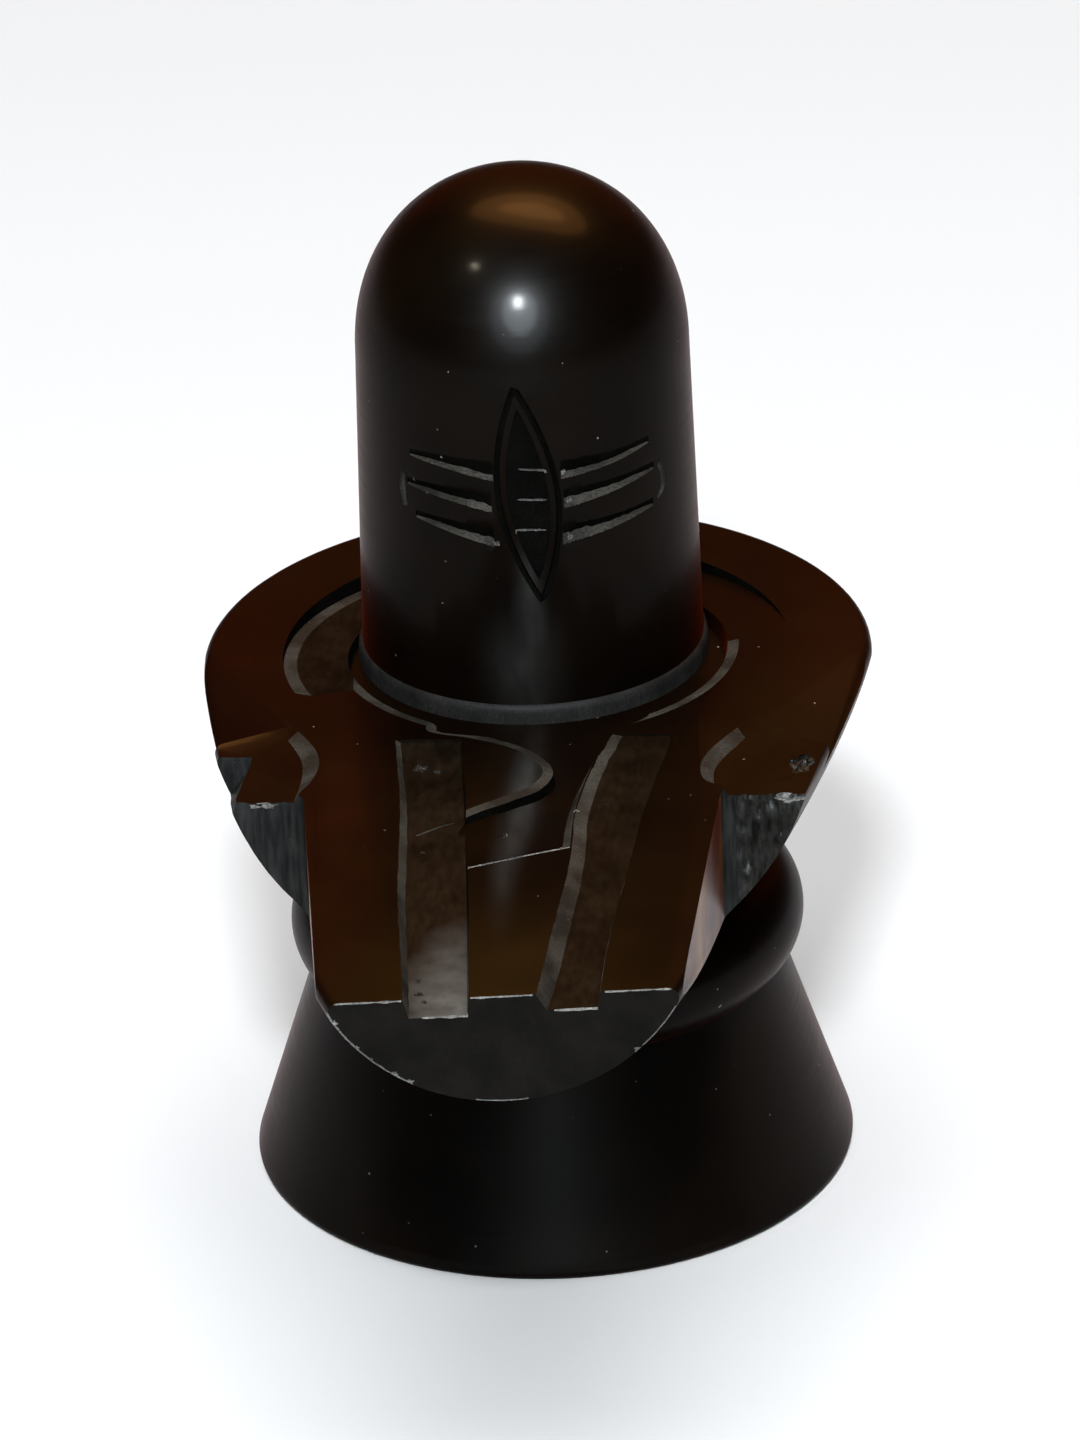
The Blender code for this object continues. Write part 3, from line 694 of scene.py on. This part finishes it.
# %% [markdown]
# ## Worn edges, chips and pits
# The nose's upper edge is worn back along a thin line, painted bright as a highlight, and its lower left edge is
# chipped, the chips painted bright as worn stone and as highlights. A notch is broken out of the left ledge's
# corner, and a pit is sunk in the right ledge. They are cut with small uneven tools, so that the damage is real
# shape and not only paint.

# %% [markdown]
# Scratches and thin worn lines, some in a pale finish that is partly a painted highlight, are all shallow grooves,
# so one slightly uneven tube cuts them all.

# %% A tube for thin lines
def tube(name, points, size, finish, out=None):
    """A six-sided tube through points. Its section faces out from the post, or else upwards."""
    sections = []
    points = [Vector(point) for point in points]
    for k, point in enumerate(points):
        run = (points[min(k + 1, len(points) - 1)] - points[max(k - 1, 0)]).normalized()
        away = out(point) if out else Vector((0.0, 0.0, 1.0))
        across = run.cross(away).normalized()
        up = across.cross(run)
        wide = size * (1.0 + 0.5 * noise.noise(point * 0.8))
        corners = [math.pi * (c + 0.5) / 3.0 for c in range(6)]
        sections.append([tuple(point + wide * (across * math.cos(a) + up * math.sin(a))) for a in corners])
    return rolled(name, sections, finish)


def nose_low(x):
    """Height of the nose's lower edge at a place across it."""
    y = nose_y(x)
    keel = 0.5 * (hull_radius(y, 1.45) + hull_radius(y, 1.2))
    outer = hull_radius(y, 1.45 if x < 0 else 1.2)
    share = min(1.0, math.asin(min(1.0, abs(x) / keel)) / (0.5 * math.pi - math.asin(RISE / keel)))
    radius = keel + (outer - keel) * share**2 * (3.0 - 2.0 * share)
    return HULL_Z - math.sqrt(max(0.0, radius**2 - x**2))


# %% [markdown]
# Polish wears first along a sharp edge. The nose's upper edge is therefore cut back by a fraction of a
# millimetre, piece by piece between the strips, and its lower edge gets the same wear as a thin groove. Both
# take a pale finish that is partly worn stone and partly a painted highlight.

# %% Wear the nose's upper edge
def nose_edge(number, start, end, z, size):
    """A thin flat along the nose's edge between two places."""
    sections = []
    for k in range(25):
        x = start + (end - start) * k / 24
        y = nose_y(x)
        worn = size * (0.75 + 0.7 * noise.noise(Vector((x * 0.7, z, 3.0))))
        sections.append([(x, y - 0.5, z - worn - 0.5), (x, y - 0.5, z + 0.5), (x, y + worn + 0.5, z + 0.5)])
    combine(stone, rolled("nose edge " + str(number), sections, worn_and_painted_highlight))


# This pale finish is partly rubbed stone and partly a painted highlight on edges, chips and thin lines.
worn_and_painted_highlight = cut_stone("worn edge and painted highlight", (0.06, 0.06, 0.056), (0.34, 0.34, 0.32), 0.5, 0.35, (1, 1, 1), 0.1)
for number, (start, end, z) in enumerate(((-22.6, -12.9, TOP), (-10.2, -4.1, TOP - 2.72), (-3.7, 4.6, TOP),
                                          (7.4, 13.2, TOP - 2.52), (14.2, 23.6, TOP))):
    nose_edge(number, start, end, z, 0.22)


# %% [markdown]
# Small uneven balls break out the chips and pits, because a real chip has no flat sides.

# %% Chip the nose's lower edge and pit the ledges
def blob(name, place, size, finish, unevenness=0.3, seed=0.0):
    """An uneven ball for breaking out a hollow."""
    deselect()
    bpy.ops.mesh.primitive_ico_sphere_add(subdivisions=4, radius=MM)
    piece = bpy.context.object
    piece.name = name
    for vertex in piece.data.vertices:
        way = vertex.co / MM
        bulge = 1.0 + unevenness * noise.noise(way * 1.6 + Vector((seed, seed, seed)))
        bulge += 0.5 * unevenness * noise.noise(way * 4.0 + Vector((seed, 0.0, seed)))
        vertex.co = Vector([(p + w * r * bulge) * MM for p, w, r in zip(place, way, size)])
    piece.data.materials.append(finish)
    combine(stone, piece)


# The chips and the lines along the nose's lower edge are in the pale finish, partly a painted highlight.
for number, x in enumerate((-23.0, -22.2, -20.8, -19.3, -17.5, -15.9, -14.6, -13.4, -12.4, 18.5)):
    size = 0.42 + 0.35 * noise.noise(Vector((x, 1.7, 0.0)))
    low = nose_low(x)
    blob("nose chip " + str(number), (x, nose_y(x) - 0.1, low), (1.3 * size, 0.8 * size, size), worn_and_painted_highlight, 0.5, x)
for number, (start, end, size) in enumerate(((-23.4, -12.5, 0.30), (-3.5, 3.5, 0.16), (19.0, 23.6, 0.14))):
    path = []
    for k in range(33):
        x = start + (end - start) * k / 32
        path.append((x, nose_y(x), nose_low(x) + 0.05))
    combine(stone, tube("nose rim line " + str(number), path, size, worn_and_painted_highlight, lambda point: Vector((0.0, -1.0, 0.0))))
# The lines in the pale finish carry a painted highlight; the others are matt banks.
for number, (path, size, finish) in enumerate((
    ([(-7.5, -69.5, 80.02), (-3.8, -67.9, 80.04), (0.0, -66.2, 80.02), (3.8, -64.5, 80.04), (7.6, -62.95, 80.02)],
     0.24, worn_and_painted_highlight),
    ([(-8.9, -53.6, 79.0), (-10.8, -54.6, 79.0), (-14.0, -57.2, 79.02)], 0.20, banked),
    ([(4.9, -51.9, 79.5), (6.4, -52.1, 79.8), (8.4, -51.8, 80.0)], 0.26, worn_and_painted_highlight),
    ([(15.5, -73.0, 80.02), (14.5, -82.0, 80.02), (13.7, -96.0, 80.02), (13.35, -108.0, 80.02)], 0.22, banked),
)):
    combine(stone, tube("line " + str(number), smoothed(path, 8), size, finish))
blob("ledge pit", (38.9, -36.6, TOP - 0.8), (1.7, 2.3, 1.1), pecked, 0.5, 2.0)
blob("broken corner", (43.9, -41.0, TOP - 2.6), (2.6, 5.2, 2.4), pecked, 0.5, 5.0)
# The corner chips are in the pale finish, partly a painted highlight.
blob("corner chip", (36.8, -45.6, TOP - 1.7), (2.6, 0.9, 0.9), worn_and_painted_highlight, 0.6, 7.0)
blob("left edge chip", (-35.4, -46.9, TOP - 1.7), (2.4, 0.8, 0.7), worn_and_painted_highlight, 0.6, 8.0)
pits = ((-14.6, -37.5, 0.9), (-12.2, -38.5, 0.5), (-11.0, -101.0, 0.6), (-11.3, -97.5, 0.5), (-10.2, -103.0, 0.4),
        (-12.9, -62.0, 0.35), (11.9, -48.0, 0.4), (-1.9, -57.5, 0.7))
for number, (x, y, r) in enumerate(pits):
    blob("pit " + str(number), (x, y, TOP - along([(-113.0, 2.9), (-75.0, 1.5), (-30.0, 0.5)], y)), (r, r, 0.6 * r),
         pecked, 0.5, x)

# %% [markdown]
# The left corner broke off along a slanting face that falls outwards.

# %% Break out the left corner
notch_line = [(-38.2, -33.4), (-38.2, -35.8), (-38.9, -40.0), (-39.3, -45.0), (-38.6, -50.0)]
notch_top = [(x, y, TOP) for x, y in notch_line] + [(-62.0, -50.0, TOP), (-62.0, -33.4, TOP)]
notch_mid = [(x - 1.6, y, TOP - 3.4) for x, y in notch_line] + [(-62.0, -50.0, TOP - 3.4), (-62.0, -33.9, TOP - 3.4)]
notch_low = [(x - 5.5, y, TOP - 9.0) for x, y in notch_line] + [(-62.0, -50.0, TOP - 9.0), (-62.0, -34.6, TOP - 9.0)]
notch = rolled("left notch", [notch_low, notch_mid, notch_top, [(x, y, TOP + 3.0) for x, y, z in notch_top]], sawn)
roughen(notch, 0.6, lambda c, n: n.x > 0.3 and c.z < TOP, lambda place: 0.5 * saw_streaks(place.zxy))
combine(stone, notch)

# %% [markdown]
# ## The post
# The lingam is a plain post with a full dome. It was turned in one with the rest, and where the polishing
# wheel could not reach, a low matt ring is left at its foot, standing a little proud.

# %% Turn the post
CENTRE = (-0.9, 5.7)
POST, TAPER, HIGH, DOME = 24.7, 0.9, 151.2, 25.8
profile = [(25.3, 74.0), (25.3, 78.9), (25.2, 79.5), (24.95, 79.9), (POST, 80.05)]
for k in range(1, 25):
    profile.append((POST - TAPER * k / 25, 80.05 + (HIGH - DOME - 80.05) * k / 25))
for k in range(40):
    angle = 0.5 * math.pi * k / 40
    profile.append(((POST - TAPER) * math.cos(angle) ** (2 / 2.15), HIGH - DOME + DOME * math.sin(angle) ** (2 / 2.15)))
profile += [(0.4 * profile[-1][0], HIGH)]
post = rolled("post", [ring(r, z, CENTRE) for r, z in profile], polished)
paint(post, dull_ring, lambda c, n: c.z < 80.1)
combine(stone, post, "UNION")


# %% [markdown]
# ## The mark on the post
# An upright eye is crossed by three bands. Each band is a groove with a tall upper wall painted dark as shade
# and a narrow matt lower wall painted lighter as lit, and it thins out away from the eye. The eye has a polished
# rim and a sunk middle painted dark as shade.

# %% Places on the post's skin
MARK_Z, MARK_TURN = 112.6, 5.8


def on_post(angle, z, sink):
    """A point at an angle in degrees from the front, sunk below the post's skin."""
    radius = POST - TAPER * (z - 80.05) / (HIGH - DOME - 80.05) - sink
    turn = math.radians(angle)
    return Vector((CENTRE[0] + radius * math.sin(turn), CENTRE[1] - radius * math.cos(turn), z))


def eye_side(side, z, half_width, half_height, lean=3.0):
    """Angle of one side of an upright eye at a height."""
    up = max(-1.0, min(1.0, (z - MARK_Z) / half_height))
    across = side * half_width * (1.0 - abs(up) ** 1.9) - 0.5 * lean * up
    return MARK_TURN - 2.0 + math.degrees(across / POST)


# %% [markdown]
# The eye is drawn on the post's skin by angle and height, so that it bends round the post. Two tubes cut its
# outline, and a shallow leaf-shaped tool sinks its middle; both are painted dark as shade.

# %% Cut the eye
def eye_line(name, side, half_width, half_height, size, reach):
    """One side of the eye's outer line, as a six-sided tube."""
    sections = []
    path = [MARK_Z + reach * half_height * math.cos(math.pi * k / 36) for k in range(37)]
    points = [on_post(eye_side(side, z, half_width, half_height), z, 0.05) for z in path]
    for k, point in enumerate(points):
        run = (points[min(k + 1, 36)] - points[max(k - 1, 0)]).normalized()
        out = Vector((point.x - CENTRE[0], point.y - CENTRE[1], 0.0))
        across = run.cross(out).normalized()
        up = across.cross(run)
        corners = [math.pi * (c + 0.5) / 3.0 for c in range(6)]
        sections.append([tuple(point + size * (across * math.cos(a) + up * math.sin(a))) for a in corners])
    # The eye's outline is painted dark as shade.
    return rolled(name, sections, painted_shade_cut)


combine(stone, eye_line("left eye line", -1.0, 4.35, 16.4, 0.52, 1.0))
combine(stone, eye_line("right eye line", 1.0, 4.35, 16.4, 0.52, 0.975))

sections = []
for k in range(33):
    z = MARK_Z + 13.0 * math.cos(math.pi * k / 32)
    left, right = eye_side(-1.0, z, 3.0, 13.2, 2.4), eye_side(1.0, z, 3.0, 13.2, 2.4)
    middle = 0.5 * (left + right)
    inner = [on_post(left, z, 0.35), on_post(0.5 * (left + middle), z, 0.62), on_post(middle, z, 0.7),
             on_post(0.5 * (right + middle), z, 0.62), on_post(right, z, 0.35)]
    outer = [on_post(right, z, -2.0), on_post(left, z, -2.0)]
    sections.append([tuple(p) for p in inner + outer])
# The eye's sunk middle is painted dark as shade.
sunk = rolled("sunk eye", sections, painted_shade_cut)
combine(stone, sunk)
print("the eye is cut:", len(stone.data.polygons), "faces")


# %% [markdown]
# The bands are cut last. Their matt lower walls, painted lighter as lit, taper away from the eye, and small
# flecks in the pale finish, partly painted highlights, mark where the stone splintered.

# %% Cut the bands
def band(name, line, height, depth, share, finish, eye_at=0.5):
    """A groove along (angle, z) points on the post. The lower wall has a share of its height."""
    sections = []
    start, end = line[0][0], line[-1][0]
    for k in range(25):
        angle = start + (end - start) * k / 24
        z = along(line, angle)
        fade = min(1.0, 3.0 * min(k, 24 - k) / 24 + 0.35)
        deep = depth * fade * (1.0 + 0.12 * noise.noise(Vector((angle * 0.5, z, 0.0))))
        tall = height * (1.0 - (0.62 * abs(eye_at - k / 24) if eye_at != 0.5 else 0.0))
        low = share * (1.25 - 0.9 * abs(eye_at - k / 24)) if eye_at != 0.5 else share
        low *= 1.0 + 0.35 * noise.noise(Vector((angle * 0.35, z, 7.0)))
        upper, lower = z + 0.5 * tall, z - 0.5 * tall
        valley = lower + low * tall
        sections.append([tuple(on_post(angle, valley, deep)), tuple(on_post(angle, 2.0 * upper - valley, -deep)),
                         tuple(on_post(angle, 2.0 * lower - valley, -deep))])
    tool = rolled(name, sections, finish)
    # The upper wall and the ends are painted dark as shade.
    tool.data.materials.append(painted_shade_cut)
    for face in tool.data.polygons:
        if face.index % 3 == 0 or face.index >= 72:
            face.material_index = 1
    combine(stone, tool)


# This lighter copy of the matt bank goes on the bands' lower walls, which face up: partly matt stone, partly painted
# light.
band_cut_painted_lit = cut_stone("band wall, painted lit", (0.018, 0.017, 0.014), (0.085, 0.080, 0.066), 0.6, 0.3, (0.6, 0.6, 1.6),
                        0.25, patchy=0.4)
for number, (left_line, right_line, left_share, right_share) in enumerate((
    ([(-39.5, 117.1), (-22.0, 116.8), (-7.8, 116.1)], [(15.2, 116.2), (32.0, 116.5), (50.0, 117.2)], 0.24, 0.20),
    ([(-41.0, 112.5), (-22.0, 112.0), (-8.6, 111.3)], [(15.8, 111.7), (32.0, 112.2), (52.0, 112.9)], 0.26, 0.36),
    ([(-37.5, 107.8), (-22.0, 107.0), (-8.0, 106.0)], [(15.0, 106.2), (32.0, 106.7), (51.0, 107.4)], 0.32, 0.44),
)):
    band("left band " + str(number + 1), left_line, 2.9, 0.85, left_share, band_cut_painted_lit, 1.0)
    band("right band " + str(number + 1), right_line, 2.9, 0.85, right_share, band_cut_painted_lit, 0.0)
# The short inner bands have their lower wall in the pale finish, a painted highlight.
for number, (level, left_end, right_end) in enumerate(((116.35, 0.0, 10.4), (111.7, -0.6, 10.2), (107.1, -0.8, 9.8))):
    middle = 0.5 * (left_end + right_end)
    inner_line = [(left_end, level + 0.12), (middle, level - 0.05), (right_end, level - 0.1)]
    band("inner band " + str(number + 1), inner_line, 0.85, 1.25, 0.40, worn_and_painted_highlight)


def outwards(point):
    """Straight out from the post's axis."""
    return Vector((point.x - CENTRE[0], point.y - CENTRE[1], 0.0)).normalized()


# The end lines are in the same lighter finish, partly painted light.
for name, path, size in (("left end line", [(-43.2, 113.6), (-43.4, 111.0), (-42.4, 108.4)], 0.62),
                         ("right end line", [(54.6, 113.2), (56.2, 111.0), (56.0, 108.8), (53.0, 107.7)], 0.5)):
    points = [on_post(angle, z, 0.15) for angle, z in smoothed(path)]
    combine(stone, tube(name, points, size, band_cut_painted_lit, outwards))
# The flecks are in the pale finish, partly a painted highlight.
flecks = ((-26.5, 117.3, 0.28), (-38.0, 112.9, 0.24), (-35.5, 112.3, 0.2), (16.2, 115.7, 0.42), (17.8, 111.2, 0.4),
          (24.8, 111.9, 0.36), (28.5, 112.3, 0.3), (55.5, 109.2, 0.34), (17.5, 105.6, 0.4), (-7.2, 105.2, 0.38),
          (-30.0, 116.4, 0.2), (22.0, 116.2, 0.24))
for number, (angle, z, r) in enumerate(flecks):
    place = on_post(angle, z, 0.1)
    blob("fleck " + str(number), tuple(place), (r, r, r), worn_and_painted_highlight, 0.6, angle)
print("after the mark:", len(stone.data.polygons), "faces")

# %% [markdown]
# ## Soften and place the finished stone
# All faces are shaded smooth, except across edges sharper than 28 degrees. The piece sits at the origin and
# takes the place of the CAD block.

# %% Hand the stone over to the frame
deselect()
bpy.context.view_layer.objects.active = stone
stone.select_set(True)
bpy.ops.object.shade_smooth_by_angle(angle=math.radians(28))
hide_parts("shiva_lingam")
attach(stone, "root")
check = bmesh.new()
check.from_mesh(stone.data)
print("open edges:", sum(1 for e in check.edges if not e.is_manifold),
      "triangles:", sum(len(f.verts) - 2 for f in check.faces), "volume cm3:", round(check.calc_volume() * 1e6, 1))
check.free()

# %% [markdown]
# ## Floor, lights and camera
# The stone stands on a plain pale floor. Its polish mirrors what is round it, so the room is dim and warm. Some
# lamps light only reflections, to draw the highlights on the dome. The camera looks down at 26 degrees, as in the
# photograph.

# %% The floor
deselect()
bpy.ops.mesh.primitive_plane_add(size=6.0)
floor = bpy.context.object
floor.name = "floor"
pale = bpy.data.materials.new("pale floor")
pale.use_nodes = True
pale.node_tree.nodes["Principled BSDF"].inputs["Base Color"].default_value = (0.88, 0.88, 0.88, 1.0)
pale.node_tree.nodes["Principled BSDF"].inputs["Roughness"].default_value = 0.95
pale.node_tree.nodes["Principled BSDF"].inputs["Specular IOR Level"].default_value = 0.1
floor.data.materials.append(pale)
floor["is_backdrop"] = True


# %% [markdown]
# A flash near the camera gives the dome its small bright spot, and wide dim lamps round it give the soft glow.
# The ceiling lamp lights the matt cuts and the floor, and stays out of the polish.

# %% The lights
def area_light(name, place, aim, size, watts, colour, shape="RECTANGLE", mirrored_only=False):
    """A soft lamp at a place in metres, turned to its aim. It may light reflections alone."""
    data = bpy.data.lights.new(name, "AREA")
    data.shape = shape
    data.size, data.size_y = size
    data.energy = watts
    data.color = colour
    lamp = bpy.data.objects.new(name, data)
    bpy.context.scene.collection.objects.link(lamp)
    lamp.location = place
    lamp.rotation_mode = "QUATERNION"
    lamp.rotation_quaternion = (Vector(place) - Vector(aim)).to_track_quat("Z", "Y")
    lamp.visible_diffuse = not mirrored_only
    return lamp


area_light("flash", (0.03, -1.10, 1.02), (0, 0, 0.1), (0.15, 0.15), 20.0, (0.92, 0.96, 1.0))
area_light("flash mirrored", (0.03, -1.09, 1.01), (0, 0, 0.1), (0.13, 0.17), 46.0, (0.90, 0.96, 1.0),
           mirrored_only=True)
area_light("flash bounce", (0.06, -1.25, 0.92), (0, 0, 0.12), (0.62, 0.80), 62.0, (0.80, 0.92, 1.0), "ELLIPSE", True)
area_light("wide bounce", (0.06, -1.30, 0.86), (0, 0, 0.12), (1.1, 1.3), 26.0, (0.80, 0.92, 1.0), "ELLIPSE", True)
area_light("warm lamp", (-0.72, -0.5, 1.45), (0, 0, 0.1), (0.12, 0.06), 7.0, (1.0, 0.9, 0.7), mirrored_only=True)
area_light("warm card", (0.0, 1.7, 0.85), (0, 0, 0.08), (2.4, 1.1), 3.2, (1.0, 0.14, 0.012), mirrored_only=True)
area_light("warm ceiling", (0.18, 0.75, 1.70), (0, 0, 0.1), (1.9, 1.1), 60.0, (1.0, 0.42, 0.12), "ELLIPSE", True)
area_light("warm ceiling middle", (0.18, 0.74, 1.68), (0, 0, 0.1), (1.0, 0.45), 20.0, (1.0, 0.45, 0.14), "ELLIPSE",
           True)
ceiling = area_light("soft ceiling", (0.0, 0.1, 2.2), (0, 0, 0), (2.2, 2.2), 46.0, (0.98, 0.99, 1.0))
ceiling.visible_glossy = False
world = bpy.data.worlds.new("dim warm room")
world.use_nodes = True
world.node_tree.nodes["Background"].inputs["Color"].default_value = (0.010, 0.005, 0.003, 1.0)
world.node_tree.nodes["Background"].inputs["Strength"].default_value = 1.0
bpy.context.scene.world = world

# %% [markdown]
# The camera stands far off with a long lens. Its height, turn and roll match the photograph's.

# %% The camera
camera_data = bpy.data.cameras.new("camera")
camera = bpy.data.objects.new("camera", camera_data)
bpy.context.scene.collection.objects.link(camera)
bpy.context.scene.camera = camera
UNIT = 0.000144
FRAME_WIDTH, FRAME_HEIGHT = 1080.0, 1440.0
distance, elevation, azimuth, roll = 9000.0, math.radians(26.0), math.radians(3.8), math.radians(2.2)
target = Vector((0.0, 0.0, 551.5 * UNIT))
back = Vector((math.sin(azimuth) * math.cos(elevation), -math.cos(azimuth) * math.cos(elevation), math.sin(elevation)))
forward = -back
right = forward.cross(Vector((0, 0, 1))).normalized()
up = right.cross(forward)
dx, dy = 537.6 - FRAME_WIDTH / 2.0, 650.2 - FRAME_HEIGHT / 2.0
turn_x = math.atan2(dx * math.cos(roll) - dy * math.sin(roll), distance)
turn_y = math.atan2(dx * math.sin(roll) + dy * math.cos(roll), distance)
forward = forward * math.cos(turn_x) * math.cos(turn_y) - right * math.sin(turn_x) + up * math.sin(turn_y)
forward = forward.normalized()
right = forward.cross(Vector((0, 0, 1))).normalized()
up = right.cross(forward)
side = right * math.cos(roll) - up * math.sin(roll)
top = right * math.sin(roll) + up * math.cos(roll)
pose = Matrix((side, top, -forward)).transposed().to_4x4()
pose.translation = target + distance * UNIT * back
camera.matrix_world = pose
camera_data.sensor_width = 36.0
camera_data.lens = distance / FRAME_HEIGHT * 36.0
camera_data.clip_end = 20.0
bpy.context.scene.view_settings.view_transform = "Standard"

# %% [markdown]
# The size of the finished stone is printed.

# %% Print the finished stone's size
low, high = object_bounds()
print("visual box in mm:", [round(v * 1000, 1) for v in (*low, *high)])
